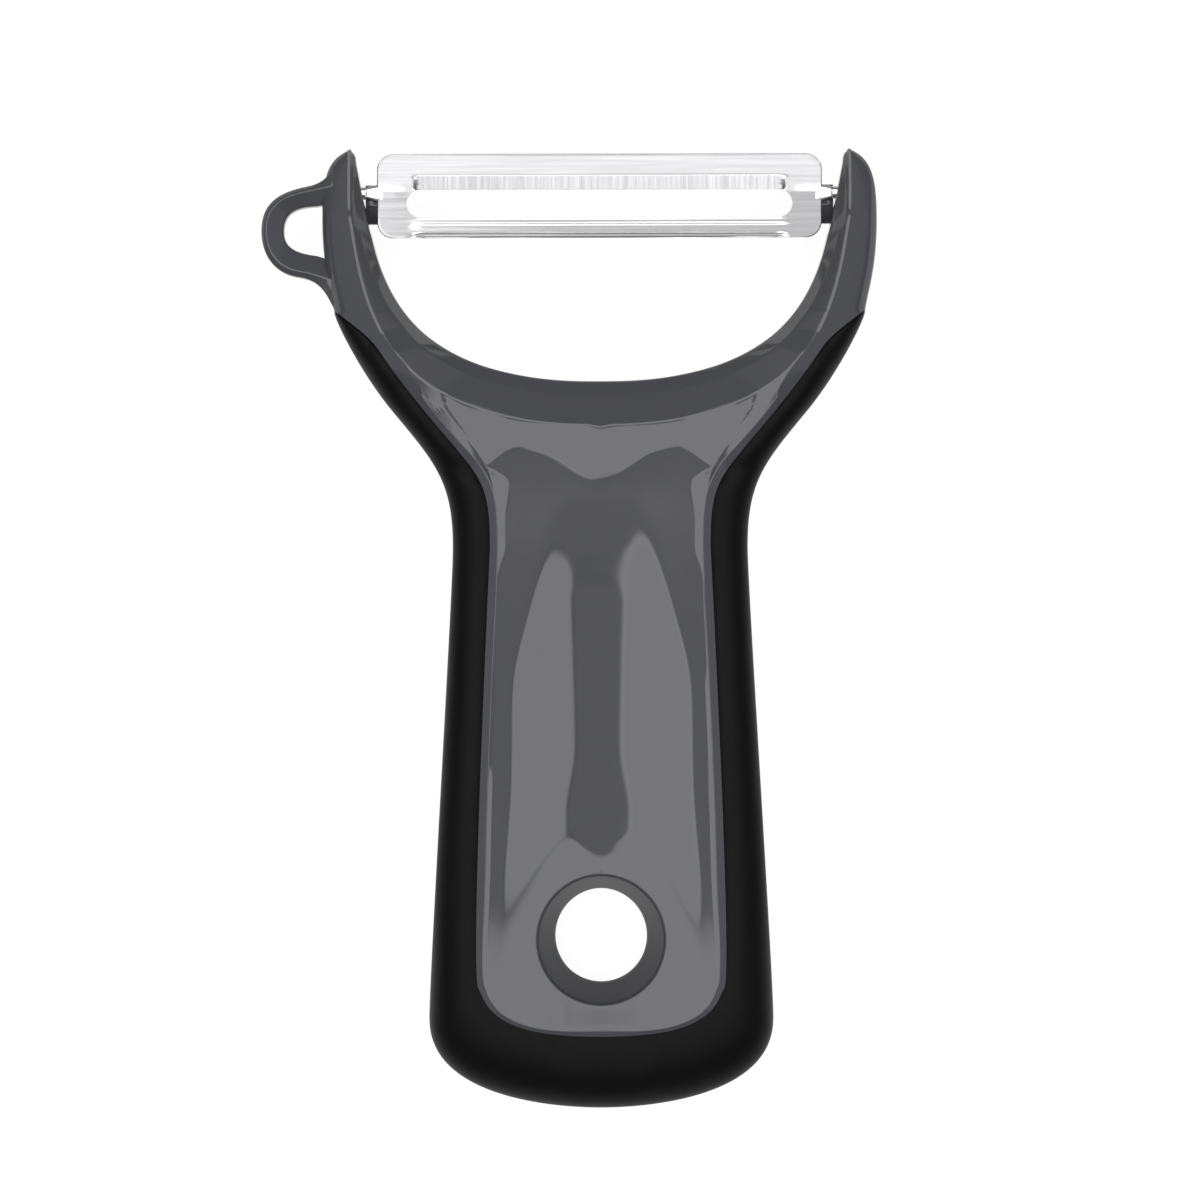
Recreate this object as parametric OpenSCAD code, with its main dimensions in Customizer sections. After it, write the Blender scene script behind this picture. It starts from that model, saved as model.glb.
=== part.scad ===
// Vegetable peeler: a swivelling blade across the fork of a broad Y-shaped handle.
// The peeler lies on its back. +Z points out of its front face and +Y runs up the handle to
// the blade. The origin is on the flat of the grip's back, on the centre line.
// The right half of each moulding is lofted and the left half is its mirror image.

/* [Handle] */
// Distance from the origin to the butt end
butt_y = 61.3; // [54:0.1:72]
// Width of the handle near the butt
butt_w = 51.7; // [44:0.1:60]
// Distance from the origin to the waist
waist_y = 23; // [18:0.5:28]
// Width of the handle at the waist
waist_w = 44.3; // [40:0.1:52]
// Height of the front rim over the rest face
rim_z = 15.6; // [13:0.1:18]
// Depth of the dished front below its rim
dish_d = 3; // [1:0.1:4]
// Height of the curled edge of the dish
curl_h = 0.9; // [0.3:0.1:1.5]

/* [Fork] */
// Clearance between each end of the blade's plate and the arm beside it
plate_gap = 0.95; // [0.6:0.05:2]
// Distance from the origin to the middle of the saddle
saddle_y = 47.8; // [44:0.1:52]
// Distance from the origin to the tips of the arms
tip_y = 82.5; // [81:0.5:92]
// Width of an arm beside the gap's lower corner
arm_w = 7.3; // [6:0.1:8.5]
// Depth of the arms, front to back
arm_d = 9; // [7:0.1:11]
// Width of the bevel down from the front ridge to the gap
bevel_w = 6.8; // [4:0.1:8]
// Distance of the flat facet in each arm's inner face from the gap's lower corner
facet_d = 1.3; // [1:0.05:1.8]

/* [Soft grip] */
// Thickness of the soft grip
grip_t = 2.2; // [1.2:0.1:3]
// Breadth of the grip seen from the front, at the butt
band_butt = 11.5; // [8:0.5:13]
// Breadth of the grip seen from the front, at the butt's corners
band_side = 7.6; // [6:0.1:9]
// Breadth of the grip seen from the front, at the waist
band_waist = 5.7; // [4.5:0.1:6.5]
// Distance that the grip's points reach above the saddle
point_rise = 10.3; // [8:0.1:12]
// Depth of the flat that the grip's back rests on
rest_cut = 0.5; // [0.2:0.1:1]

/* [Hanging hole] */
// Distance from the butt end to the hole's centre
hole_in = 25.7; // [22:0.1:30]
// Diameter of the hanging hole
hole_d = 13.8; // [11:0.1:15]
// Diameter of the funnel round the hole's front
funnel_d = 19.7; // [17:0.1:21]
// Depth of the funnel's curved wall
funnel_h = 8; // [4:0.1:9]
// Wall of the sleeve round the hole
sleeve_t = 2.4; // [1.2:0.1:3]
// Depth that the sleeve's end stands back from the rest face
sleeve_in = 0.4; // [0.1:0.1:1]

/* [Potato eyer] */
// Reach of the loop beyond the arm
loop_out = 9.4; // [7:0.1:12]
// Height of the loop's outer bend
loop_h = 13.4; // [11:0.1:15]
// Width of the loop's strap
strap_w = 3.2; // [2:0.1:4]
// Depth of the loop's strap
strap_d = 3.6; // [2:0.1:5]

/* [Blade] */
// Length of the slot
slot_l = 57.8; // [50:0.2:70]
// Width of the slot
slot_w = 4.2; // [3.5:0.1:5]
// Length of the plate beyond each end of the slot
end_w = 4.4; // [3.5:0.1:6]
// Width of the plate above the slot
top_w = 5.35; // [4.5:0.05:6.5]
// Width of the bar below the slot
bar_w = 3.05; // [2.6:0.05:4]
// Thickness of the blade's sheet
plate_t = 0.8; // [0.5:0.05:1.2]
// Radius of the plate's corners
corner_r = 2.4; // [1:0.1:3]
// Distance of the cutting edge above the pivot
edge_up = 0.5; // [0:0.1:1]
// Width of the ground bevel above the cutting edge
grind_w = 2.1; // [1:0.1:3]
// Thickness left at the cutting edge
edge_t = 0.15; // [0.1:0.05:0.3]
// Diameter of the rib rolled into the bar below the slot
rib_d = 1.8; // [1.4:0.1:2.2]
// Height of the rib over the bar
rib_h = 0.35; // [0.2:0.05:0.5]
// Diameter of the rolls that stiffen the plate's ends
roll_d = 1.7; // [1.2:0.1:2]
// Width of the tab between the plate and each pin
tab_w = 2.7; // [2.2:0.1:3]

/* [Pivot] */
// Distance from the arm tips down to the pivot
pivot_down = 6.45; // [5:0.05:8]
// Diameter of the blade's pivot pins
pin_d = 2.2; // [1.6:0.1:2.8]
// Length of each pin past the plate's end
pin_l = 5.3; // [4:0.1:6]
// Running clearance round each pin
pin_gap = 0.05; // [0.02:0.01:0.1]
// Free length beyond each pin's end
end_gap = 0.4; // [0.2:0.1:1]
// Tilt at which the blade's lower side meets its stop lugs
stop_tilt = 28; // [20:1:32]
// Clearance between each lug and the pin above it
lug_gap = 0.3; // [0.15:0.05:0.6]
// Reach of the lugs behind the plate's ends
lug_under = 0.9; // [0.5:0.1:2]
// Height of the lugs above the pivot line
lug_up = 1.35; // [0.8:0.05:2]
// Slit between each lug's upper end and the arm
lug_slit = 0.4; // [0.3:0.05:0.6]
// Distance that the slit runs below the pivot line
slit_down = 1.2; // [0.5:0.1:2]
// Length of the lugs below the pivot line
lug_down = 4.35; // [3:0.05:5]

/* [Hidden] */
core_grey = "#515257";
grip_black = "#1d1d1f";
steel = "#e4e3e8";
fine = 72;          // facets of a full circle
past = 1;           // how far a cutting shape runs past what it cuts

butt_x = butt_w / 2;
waist_x = waist_w / 2;
plate_l = slot_l + 2 * end_w;
plate_up = edge_up + top_w;                 // the plate's upper edge above the pivot
plate_low = edge_up - slot_w - bar_w;       // and its lower edge
knee_x = plate_l / 2 + plate_gap;           // the gap's half width beside the blade
fork_x = knee_x + arm_w;
hole_y = hole_in - butt_y;
ridge_y = saddle_y - bevel_w;
shoulder_y = saddle_y - 4.6;
shoulder_x = waist_x + 8.85;
point_y = saddle_y + point_rise;
point_x = fork_x - 1.8;
pivot_y = tip_y - pivot_down;
pivot_z = 9.4;      // height of the blade's axis over the rest face
knee_y = pivot_y - 4;
seed_r = hole_d * 0.3;      // the loft starts from a ring inside the hanging hole
side_y = 13.4 - butt_y;

// Each line of the plan is a run of cubic curves, one for each step of the loft:
// butt, side, neck, shoulder, arm and tip.
outer_line = [
    [[0, -butt_y], [4, -butt_y], [butt_x, 0.6 - butt_y], [butt_x, side_y]],
    [[butt_x, side_y], [butt_x, side_y + 6.7], [waist_x, waist_y - 6.2], [waist_x, waist_y]],
    [[waist_x, waist_y], [waist_x, waist_y + 9.7],
     [shoulder_x - 6.4, shoulder_y - 7.7], [shoulder_x, shoulder_y]],
    [[shoulder_x, shoulder_y], [shoulder_x + 4.5, shoulder_y + 5.4],
     [point_x - 0.2, point_y - 1.6], [point_x, point_y]],
    [[point_x, point_y], [point_x + 0.4, point_y + 3], [fork_x, knee_y - 7.6], [fork_x, knee_y]],
    [[fork_x, knee_y], [fork_x, knee_y + 6], [fork_x - 0.6, tip_y - 1.1], [fork_x - 4.4, tip_y]]
];
band_end = [butt_x - band_side, side_y + 5.3];
band_waist_x = waist_x - band_waist;
band_shoulder = [shoulder_x - 4.3, shoulder_y + 0.7];
rim_line = [
    [[0, band_butt - butt_y], [band_end.x - 1.2, band_butt - butt_y],
     [band_end.x - 1.2, band_end.y - 1.9], band_end],
    [band_end, [band_end.x + 1.4, band_end.y + 2.2], [band_waist_x, waist_y - 1],
     [band_waist_x, waist_y]],
    [[band_waist_x, waist_y], [band_waist_x, waist_y + 10.7],
     [band_shoulder.x - 8.7, band_shoulder.y - 10.8], band_shoulder],
    [band_shoulder, [band_shoulder.x + 8.7, band_shoulder.y + 10.8],
     [point_x - 8.6, point_y - 6.3], [point_x - 0.3, point_y]]
];
ridge_line = [
    [[0, ridge_y], [knee_x - 0.9, ridge_y], [knee_x + 0.5, knee_y - 13.2], [knee_x + 2.7, knee_y]],
    [[knee_x + 2.7, knee_y], [knee_x + 2.9, knee_y + 1.5],
     [fork_x - 4.35, tip_y - 2.8], [fork_x - 4.4, tip_y - 0.2]]
];
gap_line = [
    [[0, saddle_y], [knee_x * 0.63, saddle_y], [knee_x - 3, saddle_y + 7.1], [knee_x, knee_y - 1.7]],
    [[knee_x, knee_y - 1.7], [knee_x + 1, knee_y + 3.2],
     [fork_x - 6.2, tip_y - 1.9], [fork_x - 4.6, tip_y - 0.4]]
];
ridge_at_point = 0.66;   // where the row through the grip's point meets the ridge line
gap_at_point = 0.68;     // and the gap's edge

// Heights over the rest face at the ends of the loft's steps
arm_front = pivot_z + arm_d / 2;
arm_back = pivot_z - arm_d / 2;
inner_z = [rim_z - dish_d - 0.3, rim_z - dish_d - 0.3, rim_z - dish_d, rim_z - 1,
           arm_front + 0.1, arm_front - 0.4, pivot_z + 1.9];
edge_z = [rim_z - 1.2, rim_z - 0.4, rim_z, rim_z - 0.3, rim_z - 0.3, rim_z - 0.3, rim_z - 0.3];
outer_z = [7.5, 8, 8.2, 9, pivot_z, pivot_z, pivot_z];
back_z = [-rest_cut, -rest_cut, -rest_cut, 2.2, arm_back - 0.1, arm_back + 0.3, pivot_z - 2];
crease_drop = [0, 0, 0, 1.9, 1.5, 0.7, 0.4];
crease_at = [0, 0, 0, 0.66, 0.6, 0.35, 0.35];
wall_drop = [0, 0, 0, 5.6, 4.4, 2.2, 1];

// Rows of the loft
fan_rows = 10;
ring_rows = 4;
side_rows = 7;
neck_rows = 7;
shoulder_rows = 11;
arm_rows = 7;
tip_rows = 6;
ring_end = 1.2;     // the step at which the rows leave the seed ring for the centre line
corner_turn = -25;  // direction of the row that ends at the butt's corner
rows = [
    each [for (i = [0:fan_rows - 1]) i / fan_rows],
    each [for (i = [0:ring_rows - 1]) 1 + (ring_end - 1) * i / ring_rows],
    each [for (i = [0:side_rows - 1]) ring_end + (2 - ring_end) * i / side_rows],
    each [for (i = [0:neck_rows - 1]) 2 + i / neck_rows],
    each [for (i = [0:shoulder_rows - 1]) 3 + i / shoulder_rows],
    each [for (i = [0:arm_rows - 1]) 4 + i / arm_rows],
    each [for (i = [0:tip_rows]) 5 + sin(90 * i / tip_rows)]
];
row_ring = fan_rows + ring_rows;
row_saddle = row_ring + side_rows + neck_rows;
row_point = row_saddle + shoulder_rows;
row_tip = row_point + arm_rows + tip_rows;

// Columns of the loft: across the front, over the grip's side, and round its back
front_at = [1, 0.96, 0.91, 0.86, 0.78, 0.66, 0.52, 0.36, 0.18, 0];
side_cols = 3;
back_cols = 6;
grip_cols = side_cols + back_cols;
core_back_cols = 3;

function mix(a, b, t) = a + (b - a) * t;
function ease(t) = let (u = min(max(t, 0), 1)) u * u * (3 - 2 * u);
function cubic(p, t) =
    p[0] * pow(1 - t, 3) + 3 * p[1] * t * pow(1 - t, 2) + 3 * p[2] * t * t * (1 - t) + p[3] * pow(t, 3);
function along(line, s) = let (k = min(floor(s), len(line) - 1)) cubic(line[k], s - k);
// A smooth curve through the values of a list, read at the fractional index s
function level(list, s) =
    let (k = min(floor(s), len(list) - 2), t = s - k,
         a = list[max(k - 1, 0)], b = list[k], c = list[k + 1], d = list[min(k + 2, len(list) - 1)])
    b + t * (c - a + t * (2 * a - 5 * b + 4 * c - d + t * (3 * b - 3 * c + d - a))) / 2;
// The rounding of a side: 1 in the middle, falling ever faster to 0 at the edge
squareness = 2.5;
function bulge(t) = pow(max(1 - pow(min(t, 1), squareness), 0), 1 / squareness);
// Columns round that side, even along the curve, from the edge in to the given share
function round_share(k, n, inner) =
    k == n ? inner : pow(cos(acos(pow(inner, squareness / 2)) * k / n), 2 / squareness);
// A plan line past the shoulder, where the rows bunch at the middle of the saddle
function past_saddle(line, at_point, s) =
    s <= 4 ? cubic(line[0], at_point * (1 - pow(max(4 - s, 0), 1.8)))
    : s <= 5 ? cubic(line[0], mix(at_point, 1, s - 4))
    : cubic(line[1], s - 5);

function seed_angle(s) =
    s <= 1 ? mix(-90, corner_turn, s) : mix(corner_turn, 90, (s - 1) / (ring_end - 1));
function on_ring(s) = [seed_r * cos(seed_angle(s)), hole_y + seed_r * sin(seed_angle(s))];
function centre_y(s) =
    s <= 2 ? mix(hole_y + seed_r, waist_y + 1, (s - ring_end) / (2 - ring_end))
    : mix(waist_y + 1, ridge_y, s - 2);
function front_inner(s) =
    s < ring_end ? on_ring(s) : s <= 3 ? [0, centre_y(s)] : past_saddle(ridge_line, ridge_at_point, s);
function gap_edge(s) = past_saddle(gap_line, gap_at_point, max(s, 3));
function outer(s) = along(outer_line, s);
function rim(s) = s <= 4 ? along(rim_line, s) : mix(front_inner(s), outer(s), 0.95);
function rim_share(s) =
    let (a = norm(rim(s) - front_inner(s)), b = norm(outer(s) - rim(s))) a / (a + b);
// How far a row has turned from the handle's dish into the arm's rounded front
function armness(s) = ease((s - 3.05) / 0.9);
function arm_z(s, t) = level(outer_z, s) + (level(inner_z, s) - level(outer_z, s)) * bulge(t * rim_share(s));
function dish_z(s, t) =
    let (lip = curl_h * pow(max((t - 0.86) / 0.14, 0), 2), edge = level(edge_z, s) - curl_h)
    level(inner_z, s) + (edge - level(inner_z, s)) * pow(t, 2.2) + lip;
function front_z(s, t) = mix(dish_z(s, t), arm_z(s, t), armness(s));
function back_env(s, u) =
    level(outer_z, s) - (level(outer_z, s) - level(back_z, s)) * bulge(u);
// The share of the back, from the line behind the ridge to the side, that the grip leaves bare
function back_share(s) = s <= 3 ? 0 : 0.95 * pow(min(s - 3, 1), 0.8);

// A point of the skin over the grip: column 0 is the front rim, then the side, then the back
function skin(s, j) =
    j <= side_cols
    ? let (a = 90 * j / side_cols, p = mix(rim(s), outer(s), sin(a)),
           z = mix(level(outer_z, s), front_z(s, 1), cos(a))) [p.x, p.y, z]
    : let (u = round_share(j - side_cols, back_cols, back_share(s)),
           p = mix(front_inner(s), outer(s), u)) [p.x, p.y, back_env(s, u)];
// The same point on the core below the grip
function bed(s, j) =
    let (o = level(outer_z, s), rise = front_z(s, 1) - o, fall = o - level(back_z, s),
         r = rim(s), q = outer(s), way = (q - front_inner(s)) / norm(q - front_inner(s)),
         e = q - way * min(grip_t, 1.2 + 4 * max(3.9 - s, 0)))
    j <= side_cols
    ? let (a = 90 * j / side_cols, p = mix(r, e, sin(a)),
           z = o + (rise - min(grip_t, 0.5 * rise)) * cos(a)) [p.x, p.y, z]
    : let (u = round_share(j - side_cols, back_cols, back_share(s)),
           p = mix(front_inner(s), e, u),
           drop = (fall - min(grip_t + rest_cut, 0.5 * fall)) * bulge(u)) [p.x, p.y, o - drop];

function lift(p, z) = [p.x, p.y, z];
function bare_front(s) = [for (t = front_at) lift(mix(front_inner(s), rim(s), t), front_z(s, t))];
function gap_points(s) =
    let (r = front_inner(s), g = gap_edge(s), z = level(inner_z, s))
    [lift(mix(r, g, level(crease_at, s)), z - level(crease_drop, s)),
     lift(g, z - level(wall_drop, s)),
     lift(g, level(back_z, s) + 0.8)];
function bare_back(s) =
    [for (k = [0:core_back_cols]) let (u = back_share(s) * k / core_back_cols)
        lift(mix(front_inner(s), outer(s), u), back_env(s, u))];

// Column numbers of the core's rows
col_ridge = len(front_at) - 1;
col_crease = col_ridge + 1;
col_wall = col_crease + 2;
col_back = col_wall + 1 + core_back_cols;
col_bed = col_back + 1;
col_skin = col_bed + grip_cols + 1;
core_cols = col_skin + grip_cols - 1;

function core_row(s) = concat(
    bare_front(s), gap_points(s), bare_back(s),
    [for (j = [grip_cols:-1:0]) bed(s, j)],
    [for (j = [grip_cols - 1:-1:1]) skin(s, j)]);
function grip_row(s) = concat(
    [for (j = [0:grip_cols]) skin(s, j)],
    [for (j = [grip_cols:-1:0]) bed(s, j)]);

// Points of both halves, and the number of a point. The halves share the points on the centre
// line, and a point that lies on the one before it takes that one's number.
function snap(p) = [abs(p.x) < 0.001 ? 0 : p.x, p.y, p.z];
function both(grid) = [for (h = [1, -1], row = grid, p = row) let (q = snap(p)) [h * q.x, q.y, q.z]];
function number(grid, h, i, c) =
    let (n = len(grid[0]))
    c > 0 && norm(grid[i][c] - grid[i][max(c - 1, 0)]) < 0.001 ? number(grid, h, i, c - 1)
    : snap(grid[i][c]).x == 0 ? i * n + c : h * len(grid) * n + i * n + c;
// A triangle, left out if it has no area. Mirrored and inward faces are turned over.
function turn(over, f) =
    f[0] == f[1] || f[1] == f[2] || f[0] == f[2] ? [] : [over ? [f[2], f[1], f[0]] : f];
function quads(grid, h, i0, i1, pairs, inward = false) = [
    for (i = [i0:1:i1 - 1], c = pairs) let (
        a = number(grid, h, i, c[0]), b = number(grid, h, i, c[1]),
        d = number(grid, h, i + 1, c[0]), e = number(grid, h, i + 1, c[1]))
    each concat(turn(inward != (h == 1), [a, b, e]), turn(inward != (h == 1), [a, e, d]))];
function chain(a, b) = [for (c = [a:1:b - 1]) [c, c + 1]];
// Faces across one row, between two lists of columns
function shelf(grid, h, i, one, two, inward = false) = [
    for (k = [0:len(one) - 2]) let (
        a = number(grid, h, i, one[k]), b = number(grid, h, i, one[k + 1]),
        d = number(grid, h, i, two[k]), e = number(grid, h, i, two[k + 1]))
    each concat(turn(inward != (h == 1), [a, b, e]), turn(inward != (h == 1), [a, e, d]))];
function cap(grid, h, i, cols) = [
    for (k = [1:len(cols) - 2])
    each turn(h == 1, [for (c = [cols[0], cols[k], cols[k + 1]]) number(grid, h, i, c)])];

bed_columns = [for (j = [0:grip_cols]) col_bed + grip_cols - j];
skin_columns = concat([0], [for (j = [1:grip_cols - 1]) col_skin + grip_cols - 1 - j], [col_back]);

module core_blank() {
    grid = [for (s = rows) core_row(s)];
    front = chain(0, col_ridge);
    fork = chain(col_ridge, col_back);
    below = concat(chain(col_bed, col_bed + grip_cols), [[col_bed + grip_cols, 0]]);
    above = [for (k = [0:grip_cols - 1]) [skin_columns[k + 1], skin_columns[k]]];
    faces = [for (h = [0, 1]) each concat(
        quads(grid, h, 0, row_tip, front),
        quads(grid, h, row_saddle, row_tip, fork),
        quads(grid, h, 0, row_point, below),
        quads(grid, h, 0, row_ring, [[col_ridge, col_bed]]),
        quads(grid, h, row_saddle, row_point, [[col_back, col_bed]]),
        quads(grid, h, row_point, row_tip, above),
        shelf(grid, h, row_point, skin_columns, bed_columns),
        cap(grid, h, row_tip, concat([for (c = [0:col_back]) c],
            [for (j = [grip_cols - 1:-1:1]) skin_columns[j]])))];
    polyhedron(points = both(grid), faces = faces, convexity = 8);
}

// Where the two mouldings meet, both have the same triangles
module grip_blank() {
    grid = [for (i = [0:row_point]) grip_row(rows[i])];
    last = 2 * grip_cols + 1;
    faces = [for (h = [0, 1]) each concat(
        quads(grid, h, 0, row_point, concat(chain(0, grip_cols), chain(grip_cols + 1, last)), true),
        quads(grid, h, 0, row_point, [[last, 0]], true),
        quads(grid, h, 0, row_ring, [[grip_cols, grip_cols + 1]], true),
        quads(grid, h, row_saddle, row_point, [[grip_cols, grip_cols + 1]], true),
        shelf(grid, h, row_point, [for (j = [0:grip_cols]) j], [for (j = [0:grip_cols]) last - j], true))];
    polyhedron(points = both(grid), faces = faces, convexity = 8);
}

// Sleeve round the hanging hole, from inside the core to the back of the grip
module sleeve(r, z0, z1) {
    translate([0, hole_y, z0]) cylinder(r = r, h = z1 - z0, $fn = fine);
}

// Funnel and bore of the hanging hole
module hanging_hole() {
    mouth_z = rim_z - dish_d - 0.3;
    flare = (funnel_d - hole_d) / 2;
    curve = [for (a = [0:15:75]) [hole_d / 2 + flare * (1 - cos(a)), mouth_z - funnel_h * (1 - sin(a))]];
    translate([0, hole_y, 0]) rotate_extrude($fn = fine)
        polygon(concat([[0, -past], [hole_d / 2, -past]], curve,
            [[funnel_d / 2, mouth_z], [funnel_d / 2, rim_z + past], [0, rim_z + past]]));
}

// Potato eyer: a strap with a raised outer ridge, bent round a D-shaped hole beside the arm
eyer_y = pivot_y - 5.75;
eyer_x = fork_x + loop_out;
root_x = fork_x - 2;
hole_top = [[root_x, eyer_y + 4], [fork_x + 3.8, eyer_y + 4],
            [eyer_x - strap_w - 0.1, eyer_y + 3], [eyer_x - strap_w, eyer_y + 0.6]];
hole_low = [[eyer_x - strap_w, eyer_y + 0.6], [eyer_x - strap_w, eyer_y - 2.1],
            [fork_x + 3.5, eyer_y - 3.1], [root_x, eyer_y - 3.5]];
bend_top = [[root_x, eyer_y + loop_h / 2 + 2.2], [fork_x + 3, eyer_y + loop_h / 2 - 0.7],
            [eyer_x, eyer_y + loop_h / 2 + 0.5], [eyer_x, eyer_y]];
bend_low = [[eyer_x, eyer_y], [eyer_x, eyer_y - loop_h / 2 - 1.1],
            [fork_x + 2.5, eyer_y - loop_h / 2 + 1.7], [root_x, eyer_y - loop_h / 2 - 3.8]];
eyer_steps = 12;

function eyer_section(a, b) =
    let (ridge = mix(a, b, 0.25), low = pivot_z - strap_d / 2, high = pivot_z + strap_d / 2)
    [lift(a, low + 0.5), lift(a, high - 0.7), lift(ridge, high), lift(b, pivot_z + 0.4),
     lift(b, low), lift(ridge, low - 0.001)];

module eyer_loop() {
    sections = [for (t = [0:1 / eyer_steps:1.999])
        t < 1 ? eyer_section(cubic(bend_top, t), cubic(hole_top, t))
        : eyer_section(cubic(bend_low, t - 1), cubic(hole_low, t - 1)),
        eyer_section(bend_low[3], hole_low[3])];
    n = len(sections[0]);
    last = len(sections) - 1;
    sides = [for (i = [0:last - 1], k = [0:n - 1]) let (
        a = i * n + k, b = i * n + (k + 1) % n, d = a + n, e = b + n)
        each [[a, e, b], [a, d, e]]];
    ends = [for (k = [1:n - 2]) each [[0, k, k + 1], [last * n, last * n + k + 1, last * n + k]]];
    mirror([1, 0, 0]) polyhedron(points = [for (row = sections, p = row) p],
        faces = concat(sides, ends), convexity = 4);
}

// Stop lug behind the plate's end: flat below the pin, then sloped to meet the tilted plate
wall_x = knee_x + facet_d;      // the arm's inner face at the pivot
wall_lean = 11;                 // lean of that face in plan
lug_foot = 0.4;                 // how far the lugs end inside the arm's back
module stop_lug() {
    top = -pin_d / 2 - lug_gap;
    drop = (plate_t / 2 + pin_gap) / cos(stop_tilt);
    low = lug_foot - arm_d / 2;
    slope_end = -drop - lug_down * tan(stop_tilt);
    slope_start = (top + drop) / tan(stop_tilt);
    inner_x = plate_l / 2 - lug_under;
    translate([inner_x, pivot_y, pivot_z]) rotate([90, 0, 90]) difference() {
        linear_extrude(wall_x + 1 - inner_x)
            polygon([[-lug_down, low], [lug_up, low], [lug_up, top], [slope_start, top],
                     [-lug_down, slope_end]]);
        translate([-slit_down, low - past, wall_x - lug_slit - inner_x])
            cube([slit_down + lug_up + past, arm_d, lug_slit + 1 + past]);
    }
}

// What the flat facet in an arm's inner face takes away
facet_low = 5.2;        // how far the facet runs below the pivot
facet_long = 12;
module facet_cut() {
    translate([wall_x, pivot_y, pivot_z - arm_d]) rotate([0, 0, -wall_lean])
        translate([-arm_w / 2, -facet_low, 0]) cube([arm_w / 2, facet_long, 2 * arm_d]);
}

// Blind bore for the blade's pin
module pin_bore() {
    translate([plate_l / 2 - past, pivot_y, pivot_z]) rotate([0, 90, 0])
        cylinder(r = pin_d / 2 + pin_gap, h = pin_l + end_gap + past, $fn = fine);
}

module core_frame() {
    color(core_grey) difference() {
        union() {
            difference() {
                core_blank();
                for (side = [0, 1]) mirror([side, 0, 0]) facet_cut();
            }
            sleeve(hole_d / 2 + sleeve_t, sleeve_in, rim_z / 2);
            eyer_loop();
            for (side = [0, 1]) mirror([side, 0, 0]) stop_lug();
        }
        hanging_hole();
        for (side = [0, 1]) mirror([side, 0, 0]) pin_bore();
    }
}

module soft_grip() {
    color(grip_black) difference() {
        grip_blank();
        translate([-butt_w, -butt_y - past, -grip_t]) cube([2 * butt_w, butt_y + saddle_y, grip_t]);
        sleeve(hole_d / 2 + sleeve_t, -past, rim_z + past);
    }
}

// A straight rod along X, from x0 to x1
module rod(r, x0, x1) {
    translate([x0, 0, 0]) rotate([0, 90, 0]) cylinder(r = r, h = x1 - x0, $fn = fine);
}

module plate_outline() {
    x = plate_l / 2;
    h = plate_up - plate_low;
    translate([-x + corner_r, plate_low]) square([plate_l - 2 * corner_r, h]);
    translate([-x, plate_low + corner_r]) square([plate_l, h - 2 * corner_r]);
    for (a = [-1, 1], y = [plate_low + corner_r, plate_up - corner_r])
        translate([a * (x - corner_r), y]) circle(corner_r, $fn = fine);
}

module slot_outline() {
    r = slot_w / 2;
    translate([-slot_l / 2 + r, edge_up - slot_w]) square([slot_l - slot_w, slot_w]);
    for (a = [-1, 1]) translate([a * (slot_l / 2 - r), edge_up - r]) circle(r, $fn = fine);
}

// Bar rib: a rolled bead with round ends, flat with the back of the sheet
module bar_rib() {
    r = rib_d / 2;
    reach = slot_l / 2 - 2;
    bar_y = plate_low + bar_w * 0.6;
    rise = plate_t / 2 + rib_h - r;
    intersection() {
        translate([0, bar_y, rise]) union() {
            rod(r, -reach, reach);
            for (a = [-1, 1]) translate([a * reach, 0, 0]) sphere(r, $fn = fine);
        }
        translate([-plate_l / 2, plate_low, -plate_t / 2])
            cube([plate_l, bar_w, plate_t + rib_h + past]);
    }
}

module swivel_blade() {
    x = plate_l / 2;
    grind_x = slot_l / 2 - 1;
    color(steel) translate([0, pivot_y, pivot_z]) difference() {
        union() {
            translate([0, 0, -plate_t / 2]) linear_extrude(plate_t) difference() {
                plate_outline();
                slot_outline();
            }
            bar_rib();
            for (side = [0, 1]) mirror([side, 0, 0]) {
                rod(roll_d / 2, slot_l / 2 + 0.8, x + 0.5);
                translate([x - 1, -tab_w / 2, -plate_t / 2]) cube([2, tab_w, plate_t]);
                rod(pin_d / 2, x, x + pin_l);
            }
        }
        // The ground bevel, which thins the sheet down to the cutting edge
        translate([-grind_x, edge_up, edge_t - plate_t / 2])
            rotate([atan((plate_t - edge_t) / grind_w), 0, 0])
            translate([0, -past, 0]) cube([2 * grind_x, grind_w + plate_t + past, plate_t]);
    }
}

core_frame();
soft_grip();
swivel_blade();
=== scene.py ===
import math
from types import SimpleNamespace

import bmesh
import bpy
import numpy as np
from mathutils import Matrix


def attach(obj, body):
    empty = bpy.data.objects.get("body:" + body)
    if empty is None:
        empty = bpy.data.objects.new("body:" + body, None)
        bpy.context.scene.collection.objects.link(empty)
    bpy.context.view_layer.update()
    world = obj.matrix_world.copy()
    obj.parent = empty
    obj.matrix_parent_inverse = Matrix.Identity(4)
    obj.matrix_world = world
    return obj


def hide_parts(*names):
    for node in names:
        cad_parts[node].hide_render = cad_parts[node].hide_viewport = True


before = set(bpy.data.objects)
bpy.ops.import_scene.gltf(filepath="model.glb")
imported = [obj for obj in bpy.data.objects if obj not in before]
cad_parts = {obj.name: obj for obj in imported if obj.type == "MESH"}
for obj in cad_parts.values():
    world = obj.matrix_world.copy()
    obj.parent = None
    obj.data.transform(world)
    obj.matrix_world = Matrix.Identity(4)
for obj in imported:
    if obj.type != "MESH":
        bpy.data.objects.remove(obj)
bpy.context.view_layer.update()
print("frame loaded:", sorted(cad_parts))

mm = 0.001
weld = 2e-6  # points closer than this, in metres, are one
scene = bpy.context.scene

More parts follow.
